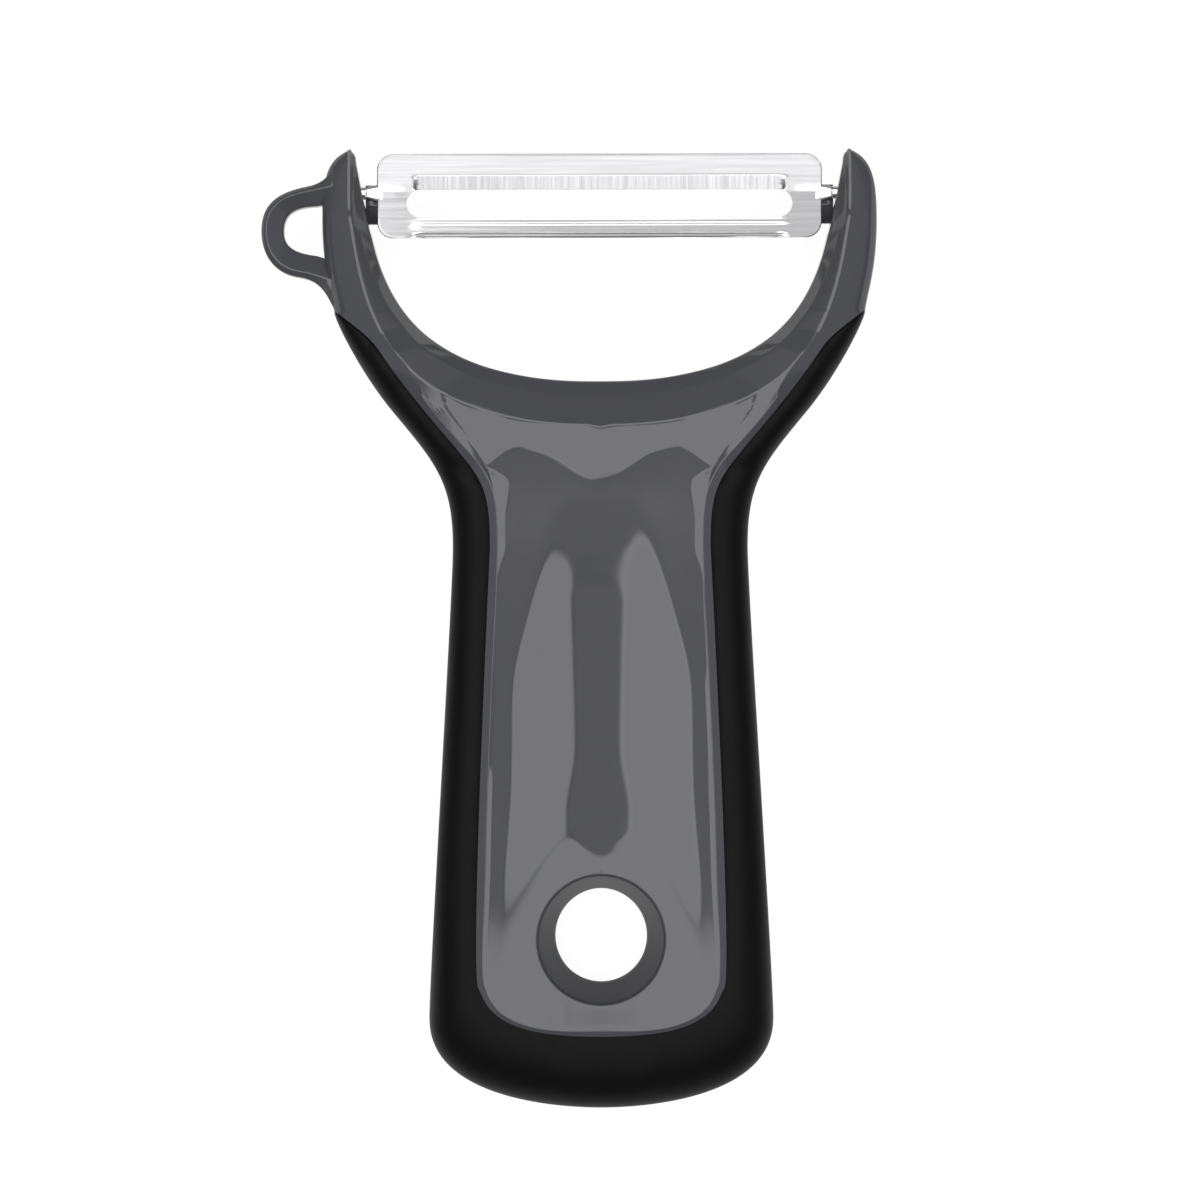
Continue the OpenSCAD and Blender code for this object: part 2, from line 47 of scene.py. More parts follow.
# Sizes of the handle in millimetres, as the part's source has them
handle = {
    "buttY": 61.3, "buttX": 25.85, "waistY": 23.0, "waistX": 22.15,
    "kneeX": 34.25, "kneeY": 72.05, "forkX": 41.55, "tipY": 82.5,
    "saddleY": 47.8, "ridgeY": 41.0, "pivotY": 76.05, "pivotZ": 9.4,
    "holeY": -35.6, "holeR": 6.9, "mouthR": 9.85, "sleeveR": 9.3, "sleeveZ": 0.4,
    "gripDeep": 2.2, "restCut": 0.5, "armDeep": 9.0, "pinR": 1.1, "pointRise": 10.3,
    "bandButt": 11.5, "bandSide": 7.6, "bandWaist": 5.7,
}
pivotY, pivotZ = handle["pivotY"], handle["pivotZ"]

# The dished panel. Ramps are (slope, start, rounding), changes (amount, start, end), spans (start, end)
panel = {
    "margin": 13.05, "floor": 11.15,
    "scoopSlope": 0.215, "scoopEnd": (15, 31),
    "upperHalf": 13.3, "upperNeck": (0.28, 4, 2), "upperButt": (0.1, 14, 3), "upperRound": 0.4,
    "lowerHalf": 3.9, "lowerNeck": (0.5, -6, 18), "lowerButt": (1.3, -7, -17), "lowerRound": 0.9,
    "neckFrom": (0.03, 6, 4), "neckTo": (0.03, 33, 2),
    "buttSlope": 0.14, "buttStart": -22.6, "buttDip": 4.4, "buttMiddle": 4.2, "buttEnd": (-46, -30),
    "buttRound": 0.5,
    "ridgeSlope": 0.165, "ridgeBand": 4.3, "ridgeMiddle": 4.1, "ridgeWide": 5.6, "ridgeSide": (7, 11, 22),
    "ridgeRound": 0.3,
    "crestBand": 0.33, "bandSide": (0.42, 6, 2), "bandNeck": (0.85, 19, 23),
    "bandOut": (0.42, 28.5, 1.0), "bandIn": (1.3, 32.5, 0.5),
    "crestSlope": 0.1, "slopeNeck": (0.13, 17, 22), "slopeSide": (0.1, -9, -13), "slopeButt": (-44, -38),
    "crestRound": 0.06,
    "facet": (0.16, 31, 0.5), "facetSlope": 0.26, "facetRound": 0.03,
    "crease": (0.03, 31, 33), "creaseWide": 0.16, "fineRound": 0.05,
    "stripSlope": 0.42, "stripPower": 3.2, "stripWide": 1.25, "stripArm": 0.5, "stripButt": 0.35,
}


# Curves

def mix(a, b, t):
    return a + (b - a) * t


def ease(t):
    u = np.clip(t, 0.0, 1.0)
    return u * u * (3 - 2 * u)


def fade(t, start, end):  # from 0 at the start to 1 at the end
    return ease((t - start) / (end - start))


def change(t, amount, start, end):
    return amount * fade(t, start, end)


def soft(t, k=1.0):  # a ramp with a rounded start
    return k * np.logaddexp(0, np.asarray(t, float) / k)


def ramp(t, slope, start, rounding):
    return slope * soft(t - start, rounding)


def hump(t, wide):
    return np.exp(-(t / wide) ** 2)


def cubic(points, t):
    p = np.asarray(points, float)
    t = np.asarray(t, float)[..., None]
    return (p[0] * (1 - t) ** 3 + 3 * p[1] * t * (1 - t) ** 2
            + 3 * p[2] * t * t * (1 - t) + p[3] * t ** 3)


def bend(a, b, c, t):  # a rounded corner at b
    return a * (1 - t) ** 2 + b * 2 * t * (1 - t) + c * t * t


def along(line, s):  # a point of a line of cubics, one for each whole step of s
    s = np.asarray(s, float)
    out = np.zeros(s.shape + (2,))
    for k, piece in enumerate(line):
        here = (np.clip(np.floor(s), 0, len(line) - 1) == k)
        out[here] = cubic(piece, s[here] - k)
    return out


def level(values, s):  # a smooth curve through the values of a list
    s = np.asarray(s, float)
    v = np.asarray(values, float)
    k = np.clip(np.floor(s).astype(int), 0, len(v) - 2)
    t = s - k
    a, b, c = v[np.maximum(k - 1, 0)], v[k], v[k + 1]
    d = v[np.minimum(k + 2, len(v) - 1)]
    return b + t * (c - a + t * (2 * a - 5 * b + 4 * c - d + t * (3 * b - 3 * c + d - a))) / 2


def bulge(t, power=2.5):
    return np.maximum(1 - np.minimum(np.abs(t), 1) ** power, 0) ** (1 / power)


def lengthOf(v):
    return np.sqrt((v * v).sum(-1))


def unit(v):
    return v / np.maximum(lengthOf(v), 1e-6)[..., None]


def spread(count, pull):  # 0 to 1, with the stations crowded at both ends
    u = np.linspace(-1, 1, count)
    return 0.5 * (1 + np.tanh(pull * u) / np.tanh(pull))


def distanceTo(points, line):  # shortest distance in plan from each point to a polyline
    a, b = line[:-1], line[1:]
    ab = b - a
    span = (ab * ab).sum(1)
    best = np.full(len(points), 1e9)
    for i in range(len(a)):
        t = np.clip(((points - a[i]) @ ab[i]) / span[i], 0, 1)
        best = np.minimum(best, lengthOf(points - a[i] - t[:, None] * ab[i]))
    return best


# Plan of the handle: butt, side, neck, shoulder, arm and tip. Corners are b for the butt, w the
# waist, sh the shoulder, pt the grip's point, k the knee, f the fork and t the tip

bx, by = handle["buttX"], handle["buttY"]
wx, wy = handle["waistX"], handle["waistY"]
kx, ky = handle["kneeX"], handle["kneeY"]
fx, ty = handle["forkX"], handle["tipY"]
sideY = 13.4 - by
shX, shY = wx + 8.85, handle["saddleY"] - 4.6
ptX, ptY = fx - 1.8, handle["saddleY"] + handle["pointRise"]
ridgeY, saddleY = handle["ridgeY"], handle["saddleY"]

outerLine = [
    [[0, -by], [4, -by], [bx, 0.6 - by], [bx, sideY]],
    [[bx, sideY], [bx, sideY + 6.7], [wx, wy - 6.2], [wx, wy]],
    [[wx, wy], [wx, wy + 9.7], [shX - 6.4, shY - 7.7], [shX, shY]],
    [[shX, shY], [shX + 4.5, shY + 5.4], [ptX - 0.2, ptY - 1.6], [ptX, ptY]],
    [[ptX, ptY], [ptX + 0.4, ptY + 3], [fx, ky - 7.6], [fx, ky]],
    [[fx, ky], [fx, ky + 6], [fx - 0.6, ty - 1.1], [fx - 4.4, ty]]]
# The grip's band ends at the rim: be is its edge at the side, bw at the waist, bs at the shoulder
bandY = handle["bandButt"] - by
beX, beY = bx - handle["bandSide"], sideY + 5.3
bwX = wx - handle["bandWaist"]
bsX, bsY = shX - 4.3, shY + 0.7
rimLine = [
    [[0, bandY], [beX - 1.2, bandY], [beX - 1.2, beY - 1.9], [beX, beY]],
    [[beX, beY], [beX + 1.4, beY + 2.2], [bwX, wy - 1], [bwX, wy]],
    [[bwX, wy], [bwX, wy + 10.7], [bsX - 8.7, bsY - 10.8], [bsX, bsY]],
    [[bsX, bsY], [bsX + 8.7, bsY + 10.8], [ptX - 8.6, ptY - 6.3], [ptX - 0.3, ptY]]]
ridgeLine = [
    [[0, ridgeY], [kx - 0.9, ridgeY], [kx + 0.5, ky - 13.2], [kx + 2.7, ky]],
    [[kx + 2.7, ky], [kx + 2.9, ky + 1.5], [fx - 4.35, ty - 2.8], [fx - 4.4, ty - 0.2]]]
gapLine = [
    [[0, saddleY], [kx * 0.63, saddleY], [kx - 3, saddleY + 7.1], [kx, ky - 1.7]],
    [[kx, ky - 1.7], [kx + 1, ky + 3.2], [fx - 6.2, ty - 1.9], [fx - 4.6, ty - 0.4]]]
# Heights of the outer line and of the back at steps 0 to 6
outerZ = [7.5, 8, 8.2, 9, pivotZ, pivotZ, pivotZ]
backZ = [-0.5, -0.5, -0.5, 2.2, 4.8, 5.2, pivotZ - 2]
ringEnd = 1.4  # the step at which the rows leave the hanging hole for the centre line
ridgeShare, gapShare = 0.66, 0.68  # how far along the saddle's curve the rows of step 4 stand
lagBy = 0.62  # how many steps the shoulder's rows run behind at the rim
crestMeet = [30.3, 51.7]  # where the strip's inner edge runs out on the ridge


def lag(s):  # rows of the shoulder reach the rim lower down than the ridge
    s = np.asarray(s, float)
    return s - lagBy * np.where(s <= 3, fade(s, 1.5, 3), fade(s, 4, 3))


def pastSaddle(line, atPoint, s):
    s = np.asarray(s, float)
    near = cubic(line[0], atPoint * (1 - np.maximum(4 - s, 0) ** 1.8))
    mid = cubic(line[0], mix(atPoint, 1, np.clip(s - 4, 0, 1)))
    far = cubic(line[1], np.clip(s - 5, 0, 1))
    s = s[..., None]
    return np.where(s <= 4, near, np.where(s <= 5, mid, far))


def innerLine(s, radius):  # the ring of the hole, then the centre line, then the ridge
    s = np.asarray(s, float)
    angle = np.radians(np.where(s <= 1, mix(-90, -25, s), mix(-25, 90, (s - 1) / (ringEnd - 1))))
    ring = np.stack([radius * np.cos(angle), handle["holeY"] + radius * np.sin(angle)], -1)
    topY = handle["holeY"] + radius
    centreY = np.where(s <= 2, mix(topY, wy + 1, (s - ringEnd) / (2 - ringEnd)),
                       mix(wy + 1, ridgeY - 0.35, s - 2))
    centre = np.stack([np.zeros_like(s), centreY], -1)
    ridge = pastSaddle(ridgeLine, ridgeShare, np.maximum(s, 3))
    t = s[..., None]
    return np.where(t < ringEnd, ring, np.where(t <= 3, centre, ridge))


def rimPlan(s):
    q = lag(s)
    inner, outer = innerLine(s, handle["mouthR"]), along(outerLine, q)
    return np.where((np.asarray(s) <= 4)[..., None], along(rimLine, np.minimum(q, 3.9999)),
                    mix(inner, outer, 0.95))


# The strip between the panel and the grip widens at the shoulder into the arm's front
ridgeTrail = pastSaddle(ridgeLine, ridgeShare, np.linspace(3, 6, 400))
meetStep = 3 + 3 * int(np.argmin(lengthOf(ridgeTrail - np.array(crestMeet)))) / 399
shoulderCrest = [[24.96, 43.7], [26.3, 46.3], [28.6, 49.6], crestMeet]


def crestPlan(s):
    q = lag(s)
    inner, rim = innerLine(s, handle["mouthR"]), rimPlan(s)
    wide = panel["stripWide"] + panel["stripArm"] * np.clip(q - 2, 0, 1) ** 2.5
    wide = wide - panel["stripButt"] * (1 - fade(q, 0.8, 1.4))
    low = rim + unit(inner - rim) * wide[..., None]
    high = cubic(shoulderCrest, np.clip((q - 3) / (lag(meetStep) - 3), 0, 1))
    t = np.asarray(s, float)[..., None]
    return np.where(q[..., None] <= 3, low, np.where(t < meetStep, high, inner))


def ridgeSide(s):  # unit direction in plan from the ridge into the panel
    s = np.maximum(np.asarray(s, float), 3)
    after = pastSaddle(ridgeLine, ridgeShare, np.minimum(s + 0.01, 6))
    way = unit(after - pastSaddle(ridgeLine, ridgeShare, np.maximum(s - 0.01, 3)))
    return np.stack([way[..., 1], -way[..., 0]], -1)


ridgeDense = np.concatenate([[[-3, ridgeY]], ridgeTrail[:300]])
crestDense = crestPlan(np.linspace(0, meetStep, 500))


def panelHeight(plan):
    x, y = np.abs(plan[..., 0]).ravel(), plan[..., 1].ravel()
    flat = np.stack([x, y], -1)
    fine = panel["fineRound"]
    # A scoop down the middle of a flat margin, narrowing towards the neck
    upper = panel["upperHalf"] - ramp(y, *panel["upperNeck"]) + ramp(-y, *panel["upperButt"])
    lower = panel["lowerHalf"] + change(y, *panel["lowerNeck"]) + change(y, *panel["lowerButt"])
    scoop = soft(upper - x, panel["upperRound"]) - soft(lower - x, panel["lowerRound"])
    z = panel["margin"] - panel["scoopSlope"] * soft(scoop, fine) * (1 - fade(y, *panel["scoopEnd"]))
    z = z - ramp(y, *panel["neckFrom"]) + ramp(y, *panel["neckTo"])
    # The rise to the butt, rounded into the scoop
    middle = hump(x, panel["buttMiddle"]) * fade(y, *panel["buttEnd"])
    start = panel["buttStart"] + panel["buttDip"] * (1 - middle)
    rise = panel["buttSlope"] * soft(start - y, panel["buttRound"])
    deep = soft(z - panel["floor"], fine)
    z = z + (deep ** 3 + rise ** 3) ** (1 / 3) - deep
    # The rise to the ridge, wider in the middle and at the shoulder
    toRidge = distanceTo(flat, ridgeDense)
    band = panel["ridgeBand"] + panel["ridgeMiddle"] * hump(x, panel["ridgeWide"])
    band = band + change(x, *panel["ridgeSide"])
    z = z + panel["ridgeSlope"] * soft(band - toRidge, panel["ridgeRound"])
    # The step up to the strip
    toCrest = distanceTo(flat, crestDense)
    band = panel["crestBand"] + change(y, *panel["bandSide"]) + change(y, *panel["bandNeck"])
    band = band + ramp(y, *panel["bandOut"]) - ramp(y, *panel["bandIn"])
    slope = panel["crestSlope"] + change(y, *panel["slopeNeck"])
    slope = slope + change(y, *panel["slopeSide"]) * fade(y, *panel["slopeButt"])
    z = z + slope * soft(band - toCrest, panel["crestRound"])
    # The shoulder's facet beside the strip, with a fine crease along it
    facet = ramp(y, *panel["facet"])
    z = z + panel["facetSlope"] * soft(facet - toCrest, panel["facetRound"])
    z = z - change(y, *panel["crease"]) * hump(toCrest - facet, panel["creaseWide"])
    return z.reshape(plan.shape[:-1])


def lift(plan, z):
    high = np.broadcast_to(np.asarray(z, float)[..., None], plan.shape[:-1] + (1,))
    return np.concatenate([plan, high], -1)


def backHeight(q, u):
    return level(outerZ, q) - (level(outerZ, q) - level(backZ, q)) * bulge(u)


def backTurn(share, t):  # from the outer line at 0 to the share of the way in at 1
    return np.maximum(np.cos(np.arccos(np.clip(share, 0, 1) ** 1.25) * t), 0.0) ** 0.8


# A chain of straight pieces with rounded corners, one for every row at once
def roundedChain(corners, radii, flats, bends):
    columns = []
    start = corners[0]
    last = len(corners) - 1
    for i in range(1, last + 1):
        b = corners[i]
        enter = b
        if i < last:
            toA, toC = corners[i - 1] - b, corners[i + 1] - b
            la, lc = np.maximum(lengthOf(toA), 1e-9), np.maximum(lengthOf(toC), 1e-9)
            most = 0.95 if i == 1 else 0.45
            r = np.minimum(radii[i - 1], np.minimum(most * la, 0.45 * lc))
            enter = b + toA * (r / la)[:, None]
            leave = b + toC * (r / lc)[:, None]
        columns += [mix(start, enter, k / flats[i - 1]) for k in range(flats[i - 1])]
        if i < last:
            columns += [bend(enter, b, leave, k / bends) for k in range(bends)]
            start = leave
    columns.append(corners[last])
    return columns


# Mesh helpers

def asTable(columns):  # points on the centre plane lie exactly on it
    table = np.stack(columns, 1)
    table[np.abs(table[..., 0]) < 1e-4, 0] = 0
    return table


def sheetFrom(bm, table):  # a grid whose points move to the table's places
    rows, cols = table.shape[:2]
    made = bmesh.ops.create_grid(bm, x_segments=cols - 1, y_segments=rows - 1, size=1.0)
    for v in made["verts"]:
        c = round((v.co.x + 1) / 2 * (cols - 1))
        r = round((v.co.y + 1) / 2 * (rows - 1))
        v.co = table[r, c] * mm


def dropMiddle(bm, near, context):  # faces that lie in the centre plane
    middle = [f for f in bm.faces if all(abs(v.co.x) < near for v in f.verts)]
    bmesh.ops.delete(bm, geom=middle, context=context)


def openEdges(bm):
    return [e for e in bm.edges if e.is_boundary]


def edgesOf(verts):  # each edge once
    return list(dict.fromkeys(e for v in verts for e in v.link_edges))


def roundEdges(bm, edges, wide):
    bmesh.ops.bevel(bm, geom=edges, offset=wide * mm, affect="EDGES", segments=2, profile=0.5,
                    material=-1)


def wholeFrom(table, label):  # each row closes on itself, and the left half is a mirror image
    bm = bmesh.new()
    sheetFrom(bm, np.concatenate([table, table[:, :1]], 1))
    bmesh.ops.remove_doubles(bm, verts=bm.verts, dist=weld)
    bmesh.ops.dissolve_degenerate(bm, edges=bm.edges, dist=1e-7)
    dropMiddle(bm, 1e-7, "FACES_ONLY")
    bmesh.ops.mirror(bm, geom=bm.verts[:] + bm.edges[:] + bm.faces[:], merge_dist=1e-7, axis="X")
    bmesh.ops.remove_doubles(bm, verts=bm.verts, dist=weld)
    bmesh.ops.holes_fill(bm, edges=openEdges(bm), sides=0)
    print(label, "rows", table.shape)
    return bm


def finishPiece(bm, name, body, nodes, material, second=None, where=None, sharp=40):
    bmesh.ops.remove_doubles(bm, verts=bm.verts, dist=weld)
    bmesh.ops.dissolve_degenerate(bm, edges=bm.edges, dist=1e-7)
    dropMiddle(bm, 1e-6, "FACES")
    bmesh.ops.recalc_face_normals(bm, faces=bm.faces)
    for f in bm.faces:
        f.smooth = True
    print("piece", name, len(bm.faces), "faces,", len(openEdges(bm)), "open edges")
    mesh = bpy.data.meshes.new(name)
    bm.to_mesh(mesh)
    bm.free()
    mesh.set_sharp_from_angle(angle=math.radians(sharp))
    piece = bpy.data.objects.new(name, mesh)
    scene.collection.objects.link(piece)
    piece.data.materials.append(material)
    if second:  # faces for which where(x, y) holds, in millimetres, get the second material
        piece.data.materials.append(second)
        for face in mesh.polygons:
            face.material_index = int(where(face.center.x / mm, face.center.y / mm))
    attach(piece, body)
    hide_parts(*nodes)


# Materials

def makeMaterial(name):
    material = bpy.data.materials.new(name)
    material.use_nodes = True
    tree = material.node_tree
    coords = tree.nodes.new("ShaderNodeTexCoord")
    return material, tree, tree.nodes["Principled BSDF"], coords.outputs["Object"]


def noiseOn(tree, where, scale, detail=2.0, stretch=None):
    noise = tree.nodes.new("ShaderNodeTexNoise")
    noise.inputs["Scale"].default_value = scale
    noise.inputs["Detail"].default_value = detail
    if stretch:
        mapping = tree.nodes.new("ShaderNodeMapping")
        mapping.inputs["Scale"].default_value = stretch
        tree.links.new(where, mapping.inputs["Vector"])
        where = mapping.outputs["Vector"]
    tree.links.new(where, noise.inputs["Vector"])
    return noise.outputs["Fac"]


def rangeOn(tree, value, toLow, toHigh):  # the noise's usual span becomes the given one
    remap = tree.nodes.new("ShaderNodeMapRange")
    spans = {"From Min": 0.3, "From Max": 0.7, "To Min": toLow, "To Max": toHigh}
    for socket, v in spans.items():
        remap.inputs[socket].default_value = v
    tree.links.new(value, remap.inputs["Value"])
    return remap.outputs["Result"]


def tintOn(tree, value, look, shader):
    tint = tree.nodes.new("ShaderNodeValToRGB")
    tint.color_ramp.elements[0].color = (*look["dark"], 1)
    tint.color_ramp.elements[1].color = (*look["light"], 1)
    tree.links.new(value, tint.inputs["Fac"])
    tree.links.new(tint.outputs["Color"], shader.inputs["Base Color"])


def bumpOn(tree, value, strength, distance, shader):
    bump = tree.nodes.new("ShaderNodeBump")
    bump.inputs["Strength"].default_value = strength
    bump.inputs["Distance"].default_value = distance
    tree.links.new(value, bump.inputs["Height"])
    tree.links.new(bump.outputs["Normal"], shader.inputs["Normal"])


# Tints, grains and lines are noises (scale, detail, stretch), and bumps (strength, distance)
plasticLook = {
    "dark": (0.057, 0.058, 0.065), "light": (0.063, 0.064, 0.071), "roughness": (0.06, 0.09),
    "tint": (38, 3), "smear": (160, 4), "grain": (900, 2), "bump": (0.02, 0.00005),
}


def greyPlastic():
    material, tree, shader, where = makeMaterial("greyPlastic")
    tintOn(tree, noiseOn(tree, where, *plasticLook["tint"]), plasticLook, shader)
    smear = noiseOn(tree, where, *plasticLook["smear"])
    tree.links.new(rangeOn(tree, smear, *plasticLook["roughness"]), shader.inputs["Roughness"])
    bumpOn(tree, noiseOn(tree, where, *plasticLook["grain"]), *plasticLook["bump"], shader)
    return material


# Painted shade: the funnel's colours are darker than the core plastic's, standing in for the shade inside the
# hanging hole
shadedFunnelLook = {
    "dark": (0.034, 0.035, 0.041), "light": (0.042, 0.043, 0.049), "roughness": 0.36,
    "specular": 0.08, "tint": (90, 3), "grain": (1500, 2), "bump": (0.05, 0.00005),
}


def shadedFunnelPlastic():  # the same plastic, moulded less glossy inside the hanging hole, with a darker colour that paints the hole's shade
    material, tree, shader, where = makeMaterial("shadedFunnelPlastic")
    tintOn(tree, noiseOn(tree, where, *shadedFunnelLook["tint"]), shadedFunnelLook, shader)
    shader.inputs["Roughness"].default_value = shadedFunnelLook["roughness"]
    shader.inputs["Specular IOR Level"].default_value = shadedFunnelLook["specular"]
    bumpOn(tree, noiseOn(tree, where, *shadedFunnelLook["grain"]), *shadedFunnelLook["bump"], shader)
    return material


rubberLook = {
    "dark": (0.0025, 0.0025, 0.0026), "light": (0.0040, 0.0040, 0.0042), "roughness": (0.42, 0.5),
    "specular": 0.08, "tint": (60, 4), "grain": (5200, 2), "bump": (0.25, 0.00006),
}


def blackRubber():
    material, tree, shader, where = makeMaterial("blackRubber")
    cloud = noiseOn(tree, where, *rubberLook["tint"])
    tintOn(tree, cloud, rubberLook, shader)
    tree.links.new(rangeOn(tree, cloud, *rubberLook["roughness"]), shader.inputs["Roughness"])
    bumpOn(tree, noiseOn(tree, where, *rubberLook["grain"]), *rubberLook["bump"], shader)
    shader.inputs["Specular IOR Level"].default_value = rubberLook["specular"]
    return material


steelLook = {
    "dark": (0.60, 0.597, 0.612), "light": (0.68, 0.677, 0.692), "roughness": (0.12, 0.16),
    "metallic": 0.92, "lines": (60, 4, (1, 42, 42)), "bump": (0.015, 0.00004),
}


def brushedSteel():
    material, tree, shader, where = makeMaterial("brushedSteel")
    shader.inputs["Metallic"].default_value = steelLook["metallic"]
    lines = noiseOn(tree, where, *steelLook["lines"])
    tintOn(tree, lines, steelLook, shader)
    tree.links.new(rangeOn(tree, lines, *steelLook["roughness"]), shader.inputs["Roughness"])
    bumpOn(tree, lines, *steelLook["bump"], shader)
    return material


groundLook = {
    "dark": (0.36, 0.357, 0.368), "light": (0.5, 0.497, 0.508), "roughness": 0.26,
    "metallic": 0.92, "lines": (60, 2, (75, 1.1, 1.1)), "bump": (0.15, 0.00004),
}


def groundSteel():  # fine grinding lines that run straight to the cutting edge
    material, tree, shader, where = makeMaterial("groundSteel")
    shader.inputs["Metallic"].default_value = groundLook["metallic"]
    lines = rangeOn(tree, noiseOn(tree, where, *groundLook["lines"]), 0, 1)
    tintOn(tree, lines, groundLook, shader)
    shader.inputs["Roughness"].default_value = groundLook["roughness"]
    bumpOn(tree, lines, *groundLook["bump"], shader)
    return material


greyMaterial, shadedFunnelMaterial = greyPlastic(), shadedFunnelPlastic()
rubberMaterial, steelMaterial, groundMaterial = blackRubber(), brushedSteel(), groundSteel()
print("materials ready")


# Grey core: one closed half shell from the rim over the front and round the back, mirrored

core = {
    "fanRows": 34, "ringRows": 42, "sideRows": 62, "neckRows": 34, "shoulderRows": 66,
    "armRows": 30, "tipRows": 16, "panelColumns": 60, "panelPull": 1.5, "stripColumns": 9, "armColumns": 14,
    "bareColumns": 8, "bedSide": 5, "bedBack": 9,
    "ridgeRound": (0.32, 0.42), "crestRound": 0.12, "creaseRound": 0.2, "edgeRound": 0.35, "backRound": 1.0,
    "funnelDeep": 7.8, "mouthRound": 0.5, "mouthTurns": (18, 36, 54, 70), "mouthSink": 0.4, "undercut": 1.4,
    "facetLean": 11, "facetBack": 1.3, "facetRound": 0.12, "facetLow": (-7.2, -4.2), "facetHigh": (4.5, 6),
    # Levels at steps 0 to 6: the ridge's height, the crease's depth and share, and the wall's depth
    "ridgeZ": [14.9] * 4 + [14.25, 13.5, 11.3], "drop": [1.9] * 4 + [1.5, 0.8, 0.5],
    "share": [0.66] * 4 + [0.6, 0.35, 0.35], "wall": [3.8] * 4 + [3.6, 2.2, 1.1],
    "armFrom": 3.45, "armFull": 4.2, "footHigh": 0.8, "ridgeRoundFrom": (3.6, 4.8), "backMost": 0.95,
    # The bed's depth at the grip's point, its gain for each step before that, and the step
    "bedPoint": (1.2, 4, 3.9),
}


def stations():
    parts = [np.linspace(0, 1, core["fanRows"], endpoint=False),
             np.linspace(1, ringEnd, core["ringRows"], endpoint=False),
             np.linspace(ringEnd, 2, core["sideRows"], endpoint=False),
             np.linspace(2, 3, core["neckRows"], endpoint=False),
             np.linspace(3, 4, core["shoulderRows"] + 1)]
    return np.concatenate(parts)


def armStations():
    tip = 5 + np.sin(np.radians(np.linspace(0, 90, core["tipRows"])))
    return np.concatenate([np.linspace(4, 5, core["armRows"], endpoint=False), tip])


def rowsAt(s):  # the lines and heights that the rows of points at the steps s are drawn from
    q = lag(s)
    rows = SimpleNamespace(s=s, q=q, inner=innerLine(s, handle["mouthR"]), rim=rimPlan(s), crest=crestPlan(s))
    rows.outer, rows.side = along(outerLine, q), level(outerZ, q)
    rows.past = (s >= 3)[:, None]
    # The panel's own edge up to the shoulder, then the arm's ridge
    onArm = fade(s, core["armFrom"], core["armFull"])
    rows.ridgeZ = mix(panelHeight(rows.inner), level(core["ridgeZ"], s), onArm)
    onCrest = mix(panelHeight(rows.crest), rows.ridgeZ, fade(s, core["armFrom"], meetStep))
    rows.crestZ = np.where(s < meetStep, onCrest, rows.ridgeZ)
    rows.ridgeRound = mix(*core["ridgeRound"], fade(s, *core["ridgeRoundFrom"]))
    rows.backShare = np.where(s <= 3, 0.0, core["backMost"] * np.clip(s - 3, 0, 1) ** 0.8)
    return rows


def stripHeight(rows, plan):
    d = lengthOf(plan - rows.crest)
    wide = np.maximum(lengthOf(rows.outer - rows.crest), 1e-6)
    above = rows.crestZ - rows.side - panel["stripSlope"] * d
    return rows.side + above * bulge(d / wide, panel["stripPower"])


def bedPoints(rows, inner):  # the face between the core and the grip
    thick = handle["gripDeep"]
    least, gain, end = core["bedPoint"]
    deep = np.minimum(thick, least + gain * np.maximum(end - rows.s, 0))
    edge = rows.outer - unit(rows.outer - inner) * deep[:, None]
    rise = stripHeight(rows, rows.rim) - rows.side
    fall = rows.side - level(backZ, rows.q)
    columns = []
    for a in np.radians(np.linspace(0, 90, core["bedSide"])):
        high = rows.side + (rise - np.minimum(thick, 0.5 * rise)) * math.cos(a)
        columns.append(lift(mix(rows.rim, edge, math.sin(a)), high))
    for k in range(1, core["bedBack"] + 1):
        u = backTurn(rows.backShare, k / core["bedBack"])
        drop = (fall - np.minimum(thick + handle["restCut"], 0.5 * fall)) * bulge(u)
        columns.append(lift(mix(inner, edge, u[:, None]), rows.side - drop))
    return columns


def armSide(rows):  # the arm's outer side, past the grip's point
    turns = np.radians(np.linspace(90, 0, core["armColumns"], endpoint=False))
    points = [mix(rows.rim, rows.outer, math.sin(a)) for a in turns]
    return [lift(p, stripHeight(rows, p)) for p in points]


def front(rows):  # strip, rounded crest and panel, up to the ridge
    rim, crest, inner = rows.rim, rows.crest, rows.inner
    strip = [mix(rim, crest, t) for t in np.linspace(0, 1, core["stripColumns"])[:-1] ** 0.8]
    columns = [lift(p, stripHeight(rows, p)) for p in strip]
    wide = lengthOf(crest - inner)
    r = np.minimum(core["crestRound"], 0.3 * wide)[:, None]
    enter, leave = crest + unit(rim - crest) * r, crest + unit(inner - crest) * r
    before = lift(enter, stripHeight(rows, enter))
    after = lift(leave, np.where(wide > 1e-3, panelHeight(leave), rows.crestZ))
    top = lift(crest, rows.crestZ)
    columns += [bend(before, top, after, k / 4) for k in range(4)]
    near = inner + ridgeSide(rows.s) * np.where(rows.s < 3, 0, rows.ridgeRound)[:, None]
    ridgeLift, crestLift = rows.ridgeZ - panelHeight(inner), rows.crestZ - panelHeight(crest)
    for t in spread(core["panelColumns"], core["panelPull"]):
        p = mix(leave, near, t)
        columns.append(lift(p, panelHeight(p) + ridgeLift * t + crestLift * (1 - t)))
    return columns


